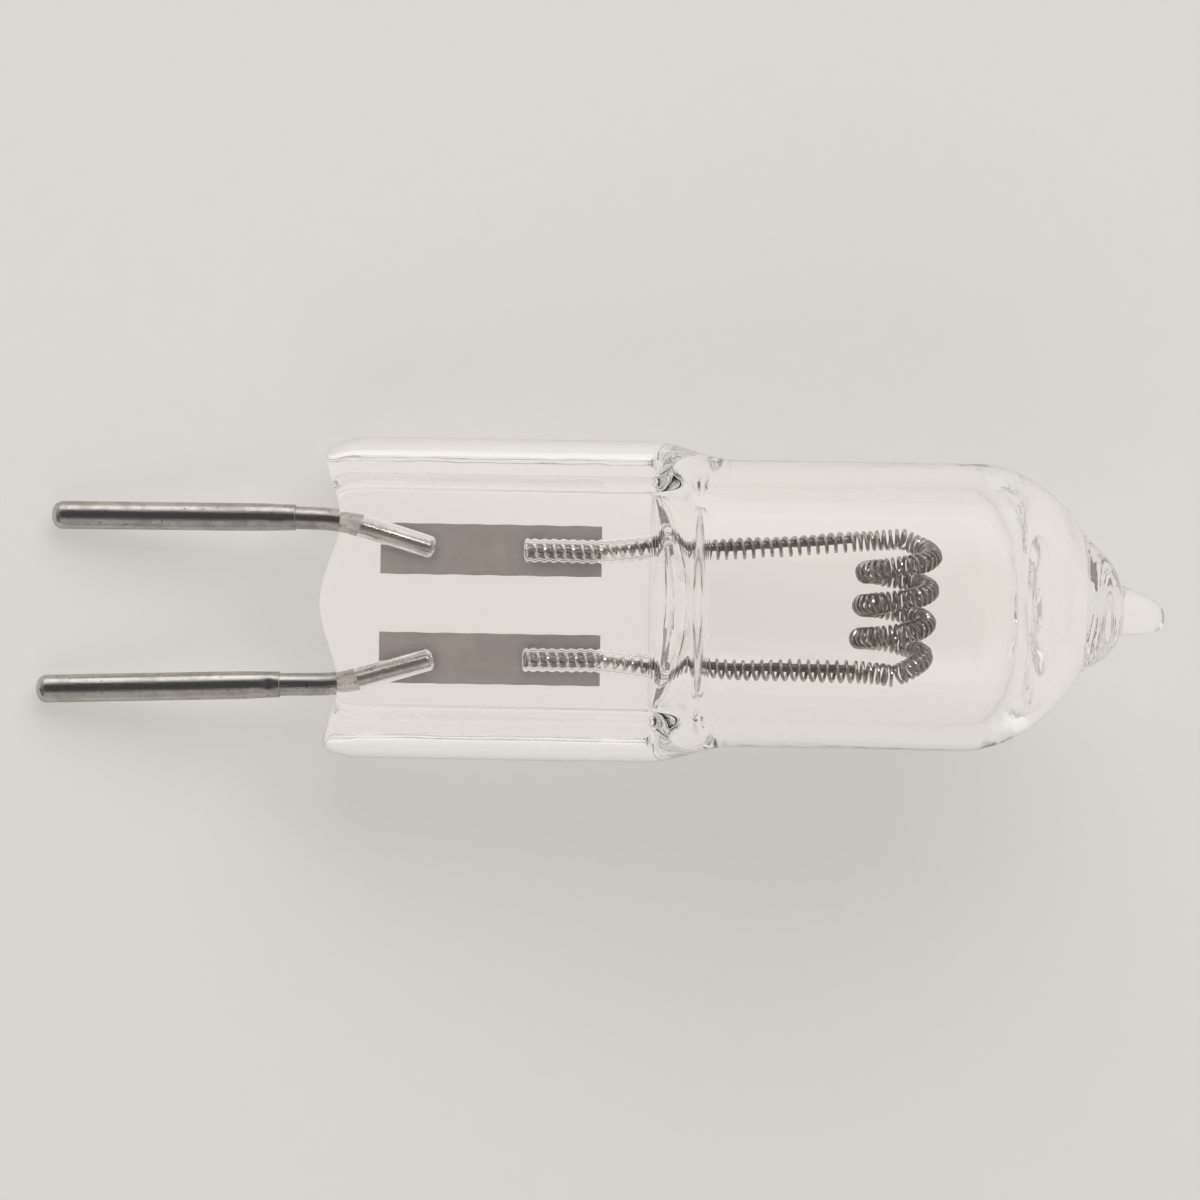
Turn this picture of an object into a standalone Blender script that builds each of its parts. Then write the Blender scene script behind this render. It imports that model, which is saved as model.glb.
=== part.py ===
"""A low-voltage quartz halogen capsule lamp with two bare pins, lying at rest.

The lamp is modelled along +X, from its pins to its exhaust tip, with the flat of its press seal
facing +Z and X = 0 at the seal's end. An empty then lays it down as a loose lamp lies: on the ends
of both pins and on the wall of its bulb. Left means the +Y side. Lengths are in metres.
"""

import math

import bmesh
import bpy
from mathutils import Matrix, Vector

MM = 0.001

# Quartz bulb, from the press seal to the exhaust tip
TUBE_DIAMETER = 10.9 * MM
TUBE_LENGTH = 8.9 * MM
WALL = 1.03 * MM
SHOULDER_LENGTH = 3.2 * MM
SHOULDER_RISE = 1.75 * MM
DOME_LENGTH = 4.3 * MM
INNER_DOME_LENGTH = 2.3 * MM
DOME_FULLNESS = 0.82
DOME_LEAN = 0.25 * MM
KNOB_DIAMETER = 5.4 * MM
KNOB_LENGTH = 1.5 * MM
TIP_DIAMETER = 1.95 * MM
TIP_LENGTH = 1.7 * MM
TIP_DROOP = 0.3 * MM
FUNNEL_DIAMETER = 3.8 * MM
FUNNEL_LENGTH = 1.3 * MM

# Profiles as (share of the length, share of the radius), or of the fall in radius for the knob
KNOB_PROFILE = ((0.0, 0.0), (0.35, 0.24), (0.7, 0.5), (0.88, 0.72), (0.97, 0.9))
TIP_PROFILE = ((0.0, 1.0), (0.2, 0.92), (0.5, 0.8), (0.75, 0.65), (0.9, 0.48), (0.97, 0.3), (1.0, 0.14))
FUNNEL_PROFILE = ((0.0, 1.0), (0.25, 0.6), (0.6, 0.28), (1.0, 0.1))
SHOULDER_STATIONS = (0.0, 0.08, 0.16, 0.24, 0.33, 0.43, 0.55, 0.75, 1.0)

# Press seal: a flat panel between two thick ribs, with a wavy end between and beside the pins
SEAL_LENGTH = 12.1 * MM
SEAL_WIDTH = 12.2 * MM
PANEL_WIDTH = 8.2 * MM
PANEL_THICKNESS = 3.0 * MM
RIB_THICKNESS = 4.6 * MM
RIB_SLOPE = 0.65 * MM
RIB_ROUNDING = 1.3 * MM
END_ROUNDING = 0.6 * MM
LEFT_CORNER = 1.1 * MM
RIGHT_CORNER = 0.5 * MM
END_WAVE = 0.36 * MM
END_WAVE_FADE = 2.5 * MM

# Cavity end at the press seal: a wedge, whose edge is pushed in by a lobe of glass between the legs
LOBE_HEIGHT = 0.95 * MM
WEDGE_SETBACK = 0.35 * MM
WEDGE_LENGTH = 1.4 * MM

# Pins: a tube closed at its tip, crimped on the outer lead
PIN_SPACING = 6.35 * MM
LEAD_DIAMETER = 0.86 * MM
SLEEVE_WALL = 0.08 * MM
SLEEVE_LENGTH = 9.25 * MM
SLEEVE_TIP_WALL = 0.6 * MM
SLEEVE_ROUNDING = 0.8
CRIMP_LENGTH = 1.5 * MM
CRIMP_WALL = 0.04 * MM
CRIMP_SQUEEZE = 0.05
LEFT_BARE_LEAD = 1.35 * MM
RIGHT_BARE_LEAD = 1.85 * MM
LEFT_PIN_LEAN = math.radians(-0.3)
RIGHT_PIN_LEAN = math.radians(2.0)

# Molybdenum foils, with the outer lead and the filament's leg lying on each
MOUNT_SHIFT = -0.2 * MM
FOIL_START = 1.9 * MM
FOIL_LENGTH = 8.4 * MM
FOIL_WIDTH = 1.95 * MM
FOIL_THICKNESS = 0.04 * MM
FOIL_EDGE = 0.3 * MM
FOIL_SPACING = 4.14 * MM
LEAD_OVERLAP = 2.1 * MM
LEAD_SHIFT_AT_ENTRY = 0.08
LEAD_SHIFT_AT_FOIL = 0.45
LEG_OVERLAP = 2.9 * MM

# Filament: a coil of tungsten wire, coiled again into the body, with a stiff core wire in each leg
WIRE_DIAMETER = 0.14 * MM
COIL_DIAMETER = 0.84 * MM
LEG_COIL_PITCH = 0.357 * MM
BODY_COIL_PITCH = 0.25 * MM
CORE_DIAMETER = 0.32 * MM
BODY_DIAMETER = 2.43 * MM
BODY_PITCH = 1.27 * MM
BODY_TURNS = 3
BODY_END_RISE = 0.25 * MM
BODY_SETBACK = 2.75 * MM
BODY_LEAN = math.radians(4.0)
BODY_ROLL = math.radians(6.5)
LEG_SPACING = 4.6 * MM
CORE_SETBACK = 1.5 * MM

# Clearances
SEAL_GAP = 0.02 * MM
WELD_GAP = 0.02 * MM
CORE_CLEARANCE = 0.025 * MM
SLEEVE_CLEARANCE = 0.02 * MM

# Fineness of the round parts
CAVITY_SIDES = 28
DOME_STEPS = 6
PIN_SIDES = 12
COIL_STEPS = 6
LEAD_SIDES = 8
CORE_SIDES = 6
WAY_SIDES = 10
LEAD_STEP = 0.5 * MM
CORE_STEP = 0.6 * MM
LEG_WAY_STEP = 0.8 * MM
SPINE_FINENESS = 0.02 * MM

LEFT = 1
RIGHT = -1
SIDE_NAMES = {LEFT: "left", RIGHT: "right"}
BARE_LEAD = {LEFT: LEFT_BARE_LEAD, RIGHT: RIGHT_BARE_LEAD}
PIN_LEAN = {LEFT: LEFT_PIN_LEAN, RIGHT: RIGHT_PIN_LEAN}
CORNER = {LEFT: LEFT_CORNER, RIGHT: RIGHT_CORNER}

# Stations along the lamp, from the end of the press seal
TUBE_RADIUS = TUBE_DIAMETER / 2
CAVITY_RADIUS = TUBE_RADIUS - WALL
TUBE_START = SEAL_LENGTH + SHOULDER_LENGTH
TUBE_END = TUBE_START + TUBE_LENGTH
DOME_END = TUBE_END + DOME_LENGTH
KNOB_END = DOME_END + KNOB_LENGTH
WEDGE_START = SEAL_LENGTH + WEDGE_SETBACK
FOIL_END = FOIL_START + FOIL_LENGTH
BODY_CENTRE = TUBE_END - BODY_SETBACK

# Radii and heights that follow from the sizes above
LEAD_RADIUS = LEAD_DIAMETER / 2
SLEEVE_BORE = LEAD_RADIUS + SLEEVE_CLEARANCE
SLEEVE_RADIUS = SLEEVE_BORE + SLEEVE_WALL
FOIL_HEIGHT = -(LEAD_RADIUS + WELD_GAP + FOIL_THICKNESS / 2)
CORE_RADIUS = CORE_DIAMETER / 2
WIRE_RADIUS = WIRE_DIAMETER / 2
WOUND_RADIUS = COIL_DIAMETER / 2 - WIRE_RADIUS
COIL_BORE = WOUND_RADIUS * math.cos(math.pi / COIL_STEPS) - WIRE_RADIUS
CORE_SHIFT = COIL_BORE - CORE_RADIUS - CORE_CLEARANCE
LEG_HEIGHT = FOIL_HEIGHT + (FOIL_THICKNESS + COIL_DIAMETER) / 2 + WELD_GAP


def clear_scene():
    for obj in list(bpy.data.objects):
        bpy.data.objects.remove(obj, do_unlink=True)


def make_material(name, colour, metallic, roughness, transmission=0.0):
    material = bpy.data.materials.new(name)
    material.use_nodes = True
    shader = material.node_tree.nodes["Principled BSDF"]
    shader.inputs["Base Color"].default_value = (*colour, 1.0)
    shader.inputs["Metallic"].default_value = metallic
    shader.inputs["Roughness"].default_value = roughness
    shader.inputs["Transmission Weight"].default_value = transmission
    return material


def add_object(name, data, material, rest):
    obj = bpy.data.objects.new(name, data)
    bpy.context.scene.collection.objects.link(obj)
    if material is not None:
        data.materials.append(material)
    obj.parent = rest
    return obj


def mesh_from(name, shape):
    """Makes a mesh of a finished bmesh, with its faces pointing out and its round parts shaded smooth."""
    bmesh.ops.recalc_face_normals(shape, faces=shape.faces)
    mesh = bpy.data.meshes.new(name)
    shape.to_mesh(mesh)
    shape.free()
    mesh.shade_smooth()
    mesh.set_sharp_from_angle(angle=math.radians(35))
    return mesh


def ease(share):
    """Runs smoothly from 0 to 1 as share goes from 0 to 1."""
    share = min(1.0, max(0.0, share))
    return share * share * (3 - 2 * share)


def mix(start, end, share):
    return start + (end - start) * share


# Quartz bulb


def seal_half_thickness(across, half_width):
    """Half the press seal's thickness at a place across it: the panel, the slope and the rounded rib."""
    across = abs(across)
    slope = ease((across - PANEL_WIDTH / 2) / RIB_SLOPE)
    thickness = mix(PANEL_THICKNESS, RIB_THICKNESS, slope) / 2
    past = (across - (half_width - RIB_ROUNDING)) / RIB_ROUNDING
    return thickness * math.sqrt(max(0.0, 1 - max(0.0, past) ** 2))


def section_angles():
    """Angles round a section, counted from +Y, with points where the slope of each rib begins and ends."""
    slope_top = math.acos((PANEL_WIDTH / 2 + RIB_SLOPE) / (SEAL_WIDTH / 2))
    slope_foot = math.acos(PANEL_WIDTH / SEAL_WIDTH)
    quarter = [slope_top * step / 4 for step in range(5)]
    quarter.append((slope_top + slope_foot) / 2)
    quarter += [mix(slope_foot, math.pi / 2, step / 4) for step in range(5)]
    upper = quarter + [math.pi - angle for angle in quarter[-2::-1]]
    return upper + [2 * math.pi - angle for angle in upper[-2:0:-1]]


def bulb_section(along, half_width, roundness, inset=0.0, shift=0.0):
    """One ring of the outer skin: the press seal's section at roundness 0, and a circle at 1."""
    ring = []
    for angle in section_angles():
        across = half_width * math.cos(angle)
        flat = seal_half_thickness(across, half_width) * (1 if angle < math.pi else -1)
        height = mix(flat, min(half_width, TUBE_RADIUS) * math.sin(angle), roundness)
        scale = 1 - inset / half_width
        lowered = math.copysign(max(0.0, abs(height) - inset), height)
        ring.append(Vector((along, across * scale + shift, lowered)))
    return ring


def seal_end_wave(point):
    """The end of the press seal bulges between the pins, is notched at each pin and has rounded corners."""
    fade = 1 - ease(point.x / END_WAVE_FADE)
    wave = math.cos(2 * math.pi * (point.y - MOUNT_SHIFT) / PIN_SPACING)
    corner = CORNER[LEFT if point.y > 0 else RIGHT]
    past = min(1.0, max(0.0, 1 - (SEAL_WIDTH / 2 - abs(point.y)) / corner))
    cut = corner * (1 - math.sqrt(1 - past**2))
    return point + Vector(((cut - END_WAVE * wave) * fade, 0, 0))


def dome_radius(share):
    """Outer radius of the dome, from the tube to the knob."""
    return mix(KNOB_DIAMETER / 2, TUBE_RADIUS, (1 - share**2) ** DOME_FULLNESS)


def bulb_rings():
    rings = []
    half_width = SEAL_WIDTH / 2
    for degrees in (90, 50, 20, 0):
        turn = math.radians(degrees)
        along = 2 * END_ROUNDING * (1 - math.sin(turn))
        rings.append(bulb_section(along, half_width, 0.0, END_ROUNDING * (1 - math.cos(turn))))
    rings.append(bulb_section(END_WAVE_FADE, half_width, 0.0))
    for share in SHOULDER_STATIONS:
        along = SEAL_LENGTH + SHOULDER_LENGTH * share
        roundness = ease((along - SEAL_LENGTH) / SHOULDER_RISE)
        rings.append(bulb_section(along, mix(half_width, TUBE_RADIUS, ease(share)), roundness))
    for step in range(DOME_STEPS):
        share = math.sin(math.pi / 2 * step / DOME_STEPS)
        along = TUBE_END + DOME_LENGTH * share
        rings.append(bulb_section(along, dome_radius(share), 1.0, shift=DOME_LEAN * share))
    tip_radius = TIP_DIAMETER / 2
    for share, fall in KNOB_PROFILE:
        along = DOME_END + KNOB_LENGTH * share
        radius = mix(KNOB_DIAMETER / 2, tip_radius, fall)
        rings.append(bulb_section(along, radius, 1.0, shift=DOME_LEAN * (1 - share)))
    for share, swell in TIP_PROFILE:
        along = KNOB_END + TIP_LENGTH * share
        rings.append(bulb_section(along, tip_radius * swell, 1.0, shift=-TIP_DROOP * share))
    return [[seal_end_wave(point) for point in ring] for ring in rings]


def cavity_rings():
    """The sealed room round the filament, from its wedge at the press seal to its funnel at the tip."""
    sections = []
    for degrees in (10, 22, 38, 55, 72, 90):
        turn = math.radians(degrees)
        along = WEDGE_START + WEDGE_LENGTH * (1 - math.cos(turn))
        half_width = CAVITY_RADIUS * mix(0.9, 1.0, math.sin(turn))
        sections.append((along, half_width, CAVITY_RADIUS * math.sin(turn)))
    funnel_radius = FUNNEL_DIAMETER / 2
    for step in range(DOME_STEPS):
        share = math.sin(math.pi / 2 * step / DOME_STEPS)
        radius = mix(funnel_radius, CAVITY_RADIUS, math.sqrt(1 - share**2))
        sections.append((TUBE_END + INNER_DOME_LENGTH * share, radius, radius))
    for share, swell in FUNNEL_PROFILE:
        along = TUBE_END + INNER_DOME_LENGTH + FUNNEL_LENGTH * share
        sections.append((along, funnel_radius * swell, funnel_radius * swell))
    return [cavity_section(*section) for section in sections]


def cavity_section(along, half_width, half_height):
    ring = []
    for step in range(CAVITY_SIDES):
        angle = 2 * math.pi * step / CAVITY_SIDES
        across = half_width * math.cos(angle)
        fade = 1 - ease((along - WEDGE_START) / WEDGE_LENGTH)
        lobe = LOBE_HEIGHT * fade * math.cos(math.pi * across / (2 * CAVITY_RADIUS))
        ring.append(Vector((along + lobe, across, half_height * math.sin(angle))))
    return ring


def lofted(name, rings):
    """A closed skin over rings of equal count, which begin on their +Y side."""
    shape = bmesh.new()
    skin = [[shape.verts.new(point) for point in ring] for ring in rings]
    count = len(rings[0])
    for near, far in zip(skin, skin[1:]):
        for step in range(count):
            after = (step + 1) % count
            shape.faces.new((near[step], near[after], far[after], far[step]))
    for ring in (skin[0], skin[-1]):
        close_across(shape, ring)
    return mesh_from(name, shape)


def close_across(shape, ring):
    """Closes a ring with strips that run straight from its upper half to its lower half."""
    count = len(ring)
    half = count // 2
    shape.faces.new((ring[0], ring[1], ring[-1]))
    for step in range(1, half - 1):
        shape.faces.new((ring[step], ring[step + 1], ring[count - step - 1], ring[count - step]))
    shape.faces.new((ring[half - 1], ring[half], ring[half + 1]))


# Wires


def smooth_path(points, step):
    """Points at even steps along a smooth curve through the given points."""
    return even_steps(smooth_curve(points, step / 4), step)


def smooth_curve(points, fineness):
    ends = [2 * points[0] - points[1], *points, 2 * points[-1] - points[-2]]
    dense = []
    for first, start, end, last in zip(ends, ends[1:], ends[2:], ends[3:]):
        pieces = max(2, math.ceil((end - start).length / fineness))
        for piece in range(pieces):
            share = piece / pieces
            pull = first * (-share + 2 * share**2 - share**3)
            pull += start * (2 - 5 * share**2 + 3 * share**3)
            pull += end * (share + 4 * share**2 - 3 * share**3)
            pull += last * (share**3 - share**2)
            dense.append(pull / 2)
    return [*dense, points[-1]]


def even_steps(points, step):
    lengths = [0.0]
    for before, after in zip(points, points[1:]):
        lengths.append(lengths[-1] + (after - before).length)
    count = max(1, round(lengths[-1] / step))
    even = []
    place = 0
    for number in range(count + 1):
        target = lengths[-1] * number / count
        while place < len(points) - 2 and lengths[place + 1] < target:
            place += 1
        share = (target - lengths[place]) / (lengths[place + 1] - lengths[place])
        even.append(points[place].lerp(points[place + 1], share))
    return even


def lengthened(points, more):
    """The same wire with its far end reaching a little further."""
    onward = (points[-1] - points[-2]).normalized()
    return [*points[:-1], points[-1] + onward * more]


def wire_curve(name, points, radius, resolution):
    curve = bpy.data.curves.new(name, "CURVE")
    curve.dimensions = "3D"
    curve.bevel_depth = radius
    curve.bevel_resolution = resolution
    curve.use_fill_caps = True
    spline = curve.splines.new("POLY")
    spline.points.add(len(points) - 1)
    for place, point in zip(spline.points, points):
        place.co = (*point, 1.0)
    spline.use_smooth = True
    return curve


def sleeve_mouth(side):
    return Vector((-BARE_LEAD[side], MOUNT_SHIFT + side * PIN_SPACING / 2, 0.0))


def pin_direction(side):
    lean = PIN_LEAN[side]
    return Vector((-math.cos(lean), side * math.sin(lean), 0.0))


def lead_points(side):
    """The outer lead: straight in its sleeve, then bent in through the glass to lie on its foil."""
    mouth = sleeve_mouth(side)
    outer_end = mouth + pin_direction(side) * (SLEEVE_LENGTH - SLEEVE_TIP_WALL - SLEEVE_CLEARANCE)
    pin_side = MOUNT_SHIFT + side * PIN_SPACING / 2
    foil_side = MOUNT_SHIFT + side * FOIL_SPACING / 2
    entry = Vector((END_WAVE, mix(pin_side, foil_side, LEAD_SHIFT_AT_ENTRY), 0.0))
    knee = Vector((FOIL_START, mix(pin_side, foil_side, LEAD_SHIFT_AT_FOIL), 0.0))
    end = Vector((FOIL_START + LEAD_OVERLAP, foil_side, 0.0))
    return [outer_end, *smooth_path([mouth, entry, knee, end], LEAD_STEP)]


def leg_points(side):
    """The leg's middle line, from its end on the foil to where it turns into the body.

    The left leg goes down to meet the body's underside, and the right leg goes up to its upper side.
    """
    foil_side = MOUNT_SHIFT + side * FOIL_SPACING / 2
    leg_side = MOUNT_SHIFT + side * LEG_SPACING / 2
    start = Vector((FOIL_END - LEG_OVERLAP, foil_side, LEG_HEIGHT))
    foil_exit = Vector((FOIL_END, foil_side, LEG_HEIGHT))
    seal_exit = Vector((WEDGE_START, leg_side, LEG_HEIGHT))
    body_height = -side * BODY_DIAMETER / 2
    body_side = side * (BODY_PITCH * (BODY_TURNS / 2 + 0.25) + BODY_END_RISE)
    free = Vector((TUBE_START, leg_side, mix(LEG_HEIGHT, body_height, 0.25)))
    turn_in = Vector((BODY_CENTRE - CORE_SETBACK, body_side, mix(LEG_HEIGHT, body_height, 0.85)))
    return [start, start.lerp(foil_exit, 0.5), foil_exit, seal_exit, free, turn_in]


def body_points():
    """The body's middle line: whole turns, and a quarter turn more that rises to each leg."""
    points = []
    radius = BODY_DIAMETER / 2
    roll = Matrix.Rotation(BODY_ROLL, 3, "X")
    whole = 360 * BODY_TURNS
    for degrees in range(-90, whole + 91, 15):
        turn = math.radians(degrees)
        across = BODY_PITCH * (BODY_TURNS / 2 - degrees / 360)
        across += BODY_END_RISE * (ease(-degrees / 90) - ease((degrees - whole) / 90))
        along = BODY_CENTRE + radius * math.cos(turn) + math.tan(BODY_LEAN) * across
        points.append(roll @ Vector((along, across, radius * math.sin(turn))))
    return points


def coil_spine():
    """The middle line of both legs and of the body between them, in the steps that each one's pitch asks."""
    left_leg = leg_points(LEFT)
    right_leg = leg_points(RIGHT)
    middle = smooth_curve(left_leg + body_points() + right_leg[::-1], SPINE_FINENESS)
    first = nearest_place(middle, left_leg[-1])
    last = nearest_place(middle, right_leg[-1])
    leg_step = LEG_COIL_PITCH / COIL_STEPS
    spine = even_steps(middle[: first + 1], leg_step)
    spine += even_steps(middle[first : last + 1], BODY_COIL_PITCH / COIL_STEPS)[1:]
    return spine + even_steps(middle[last:], leg_step)[1:]


def nearest_place(points, target):
    return min(range(len(points)), key=lambda place: (points[place] - target).length)


def coil_points():
    """The tungsten wire: wound round the whole middle line of the legs and the body."""
    spine = coil_spine()
    heading = (spine[1] - spine[0]).normalized()
    normal = heading.orthogonal().normalized()
    wound = []
    for number, point in enumerate(spine):
        after = spine[min(len(spine) - 1, number + 1)]
        turned = (after - spine[max(0, number - 1)]).normalized()
        normal = heading.rotation_difference(turned) @ normal
        normal = (normal - turned * normal.dot(turned)).normalized()
        heading = turned
        angle = 2 * math.pi * number / COIL_STEPS
        radial = normal * math.cos(angle) + heading.cross(normal) * math.sin(angle)
        wound.append(point + radial * WOUND_RADIUS)
    return wound


def core_points(side):
    """The core wire lies against the +Y side of the leg's coil, from the foil to just before the body."""
    return [point + Vector((0, CORE_SHIFT, 0)) for point in smooth_path(leg_points(side), CORE_STEP)]


# Flat and turned metal


def foil_mesh(name, side, gap=0.0):
    """A foil with feathered edges, or its slot in the glass when there is a gap."""
    shape = bmesh.new()
    half_width = FOIL_WIDTH / 2 + gap
    half_thickness = FOIL_THICKNESS / 2 + gap
    flat = half_width - FOIL_EDGE
    middle = MOUNT_SHIFT + side * FOIL_SPACING / 2
    edge = half_thickness / 4
    outline = [(half_width, edge), (flat, half_thickness), (-flat, half_thickness), (-half_width, edge)]
    outline += [(across, -height) for across, height in reversed(outline)]
    corners = [
        shape.verts.new((FOIL_START - gap, middle + across, FOIL_HEIGHT + height))
        for across, height in outline
    ]
    end = bmesh.ops.extrude_face_region(shape, geom=[shape.faces.new(corners)])
    moved = [item for item in end["geom"] if isinstance(item, bmesh.types.BMVert)]
    bmesh.ops.translate(shape, verts=moved, vec=(FOIL_LENGTH + 2 * gap, 0, 0))
    return mesh_from(name, shape)


def sleeve_profile():
    """Half the sleeve's section, from its closed tip round to the end of its bore; the mouth is at 0."""
    tip = -SLEEVE_LENGTH
    rounding = SLEEVE_ROUNDING * SLEEVE_RADIUS
    outline = [(tip, 0.0)]
    for degrees in (8, 35, 62, 90):
        turn = math.radians(degrees)
        along = tip + rounding * (1 - math.cos(turn))
        outline.append((along, SLEEVE_RADIUS - rounding * (1 - math.sin(turn))))
    mouth_radius = SLEEVE_BORE + CRIMP_WALL
    for share in (0.0, 0.3, 0.5, 0.7, 0.88):
        along = -CRIMP_LENGTH * (1 - share)
        outline.append((along, mix(SLEEVE_RADIUS, mouth_radius, ease(share))))
    outline += [(0.0, mouth_radius), (0.0, SLEEVE_BORE)]
    outline += [(tip + SLEEVE_TIP_WALL, SLEEVE_BORE), (tip + SLEEVE_TIP_WALL, 0.0)]
    return outline


def sleeve_mesh(name):
    shape = bmesh.new()
    points = [shape.verts.new((along, 0.0, radius)) for along, radius in sleeve_profile()]
    edges = [shape.edges.new(pair) for pair in zip(points, points[1:])]
    bmesh.ops.spin(
        shape,
        geom=points + edges,
        cent=(0, 0, 0),
        axis=(1, 0, 0),
        angle=2 * math.pi,
        steps=PIN_SIDES,
        use_merge=True,
    )
    bmesh.ops.remove_doubles(shape, verts=shape.verts, dist=0.0001 * MM)
    for vertex in shape.verts:
        squeeze_crimp(vertex)
    return mesh_from(name, shape)


def squeeze_crimp(vertex):
    """The crimping tool pinches the sleeve a little across the lamp and spreads it the other way."""
    share = -vertex.co.x / CRIMP_LENGTH
    outside = math.hypot(vertex.co.y, vertex.co.z) > SLEEVE_BORE * 1.001
    if outside and 0 < share < 2:
        squeeze = CRIMP_SQUEEZE * math.sin(math.pi * share / 2) ** 2
        vertex.co.z *= 1 + squeeze


# Assembly


def add_cutter(target, name, mesh, rest):
    cutter = add_object(name, mesh, None, rest)
    cutter.hide_render = True
    cutter.display_type = "WIRE"
    modifier = target.modifiers.new(name, "BOOLEAN")
    modifier.operation = "DIFFERENCE"
    modifier.solver = "EXACT"
    modifier.object = cutter


def mesh_of_curve(name, curve):
    """The mesh of a wire, for a cutter: a Boolean takes no curve."""
    holder = bpy.data.objects.new(name, curve)
    mesh = bpy.data.meshes.new_from_object(holder)
    bpy.data.objects.remove(holder)
    shape = bmesh.new()
    shape.from_mesh(mesh)
    bmesh.ops.remove_doubles(shape, verts=shape.verts, dist=0.001 * MM)
    return mesh_from(name, shape)


def add_envelope(rest, quartz):
    envelope = add_object("envelope", lofted("envelope", bulb_rings()), quartz, rest)
    add_cutter(envelope, "cavity", lofted("cavity", cavity_rings()), rest)
    for side, word in SIDE_NAMES.items():
        lead = lengthened(lead_points(side)[1:], SEAL_GAP)
        lead_way = wire_curve(word + "_lead_way", lead, LEAD_RADIUS + SEAL_GAP, LEAD_SIDES // 2 - 2)
        add_cutter(envelope, word + "_lead_way", mesh_of_curve(word + "_lead_way", lead_way), rest)
        add_cutter(envelope, word + "_foil_slot", foil_mesh(word + "_foil_slot", side, SEAL_GAP), rest)
        leg = lengthened(smooth_path(leg_points(side)[:5], LEG_WAY_STEP)[::-1], WIRE_RADIUS + SEAL_GAP)
        leg_way_radius = (COIL_DIAMETER / 2 + SEAL_GAP) / math.cos(math.pi / WAY_SIDES)
        leg_way = wire_curve(word + "_leg_way", leg, leg_way_radius, WAY_SIDES // 2 - 2)
        add_cutter(envelope, word + "_leg_way", mesh_of_curve(word + "_leg_way", leg_way), rest)
    return envelope


def add_pin(side, nickel, molybdenum, rest):
    word = SIDE_NAMES[side]
    sleeve = add_object(word + "_pin_sleeve", sleeve_mesh(word + "_pin_sleeve"), nickel, rest)
    sleeve.location = sleeve_mouth(side)
    sleeve.rotation_euler.z = -side * PIN_LEAN[side]
    lead = wire_curve(word + "_outer_lead", lead_points(side), LEAD_RADIUS, LEAD_SIDES // 2 - 2)
    add_object(word + "_outer_lead", lead, molybdenum, rest)


def add_leg(side, molybdenum, rest):
    word = SIDE_NAMES[side]
    add_object(word + "_foil", foil_mesh(word + "_foil", side), molybdenum, rest)
    core = wire_curve(word + "_core_wire", core_points(side), CORE_RADIUS, CORE_SIDES // 2 - 2)
    add_object(word + "_core_wire", core, molybdenum, rest)


def pin_points(side):
    """The underside of a pin, as it may touch what the lamp lies on."""
    mouth = sleeve_mouth(side)
    return [mouth - pin_direction(side) * along - Vector((0, 0, radius)) for along, radius in sleeve_profile()]


def rest_matrix():
    """Turns the plane that touches both pins and the bulb level, and puts the middle of its outline at 0."""
    bulb = [point for ring in bulb_rings() for point in ring]
    left_pin = pin_points(LEFT)
    right_pin = pin_points(RIGHT)
    up = Vector((0, 0, 1))
    for _ in range(12):
        left, right, wall = (min(points, key=up.dot) for points in (left_pin, right_pin, bulb))
        up = (left - wall).cross(right - wall).normalized()
    turn = up.rotation_difference(Vector((0, 0, 1))).to_matrix().to_4x4()
    turned = [turn @ point for point in bulb + left_pin + right_pin]
    low = Vector([min(point[axis] for point in turned) for axis in range(3)])
    high = Vector([max(point[axis] for point in turned) for axis in range(3)])
    middle = (low + high) / 2
    return Matrix.Translation((-middle.x, -middle.y, -low.z)) @ turn


def main():
    clear_scene()
    quartz = make_material("quartz", (0.95, 0.93, 0.9), 0.0, 0.02, 1.0)
    nickel = make_material("nickel", (0.62, 0.58, 0.55), 1.0, 0.3)
    molybdenum = make_material("molybdenum", (0.5, 0.47, 0.45), 1.0, 0.35)
    tungsten = make_material("tungsten", (0.36, 0.33, 0.31), 1.0, 0.3)
    rest = bpy.data.objects.new("rest_pose", None)
    bpy.context.scene.collection.objects.link(rest)
    rest.matrix_world = rest_matrix()
    add_envelope(rest, quartz)
    for side in SIDE_NAMES:
        add_pin(side, nickel, molybdenum, rest)
        add_leg(side, molybdenum, rest)
    add_object("filament", wire_curve("filament", coil_points(), WIRE_RADIUS, 0), tungsten, rest)


main()
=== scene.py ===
"""A quartz halogen capsule lamp with two bare pins, lying loose on a pale floor."""

import math

import bmesh
import bpy
from mathutils import Matrix, Vector


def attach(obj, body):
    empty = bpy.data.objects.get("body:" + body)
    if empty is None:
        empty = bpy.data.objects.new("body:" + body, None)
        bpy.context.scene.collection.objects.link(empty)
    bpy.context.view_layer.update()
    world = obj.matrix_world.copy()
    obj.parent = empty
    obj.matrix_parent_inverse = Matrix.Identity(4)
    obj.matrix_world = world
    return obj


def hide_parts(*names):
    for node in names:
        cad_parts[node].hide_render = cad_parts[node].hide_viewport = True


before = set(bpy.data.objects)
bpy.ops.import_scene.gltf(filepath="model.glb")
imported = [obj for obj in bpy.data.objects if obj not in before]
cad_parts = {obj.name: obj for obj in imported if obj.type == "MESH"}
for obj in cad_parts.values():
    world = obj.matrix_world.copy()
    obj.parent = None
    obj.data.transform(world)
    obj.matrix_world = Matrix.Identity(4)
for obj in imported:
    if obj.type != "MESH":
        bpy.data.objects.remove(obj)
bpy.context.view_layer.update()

MM = 0.001

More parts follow.
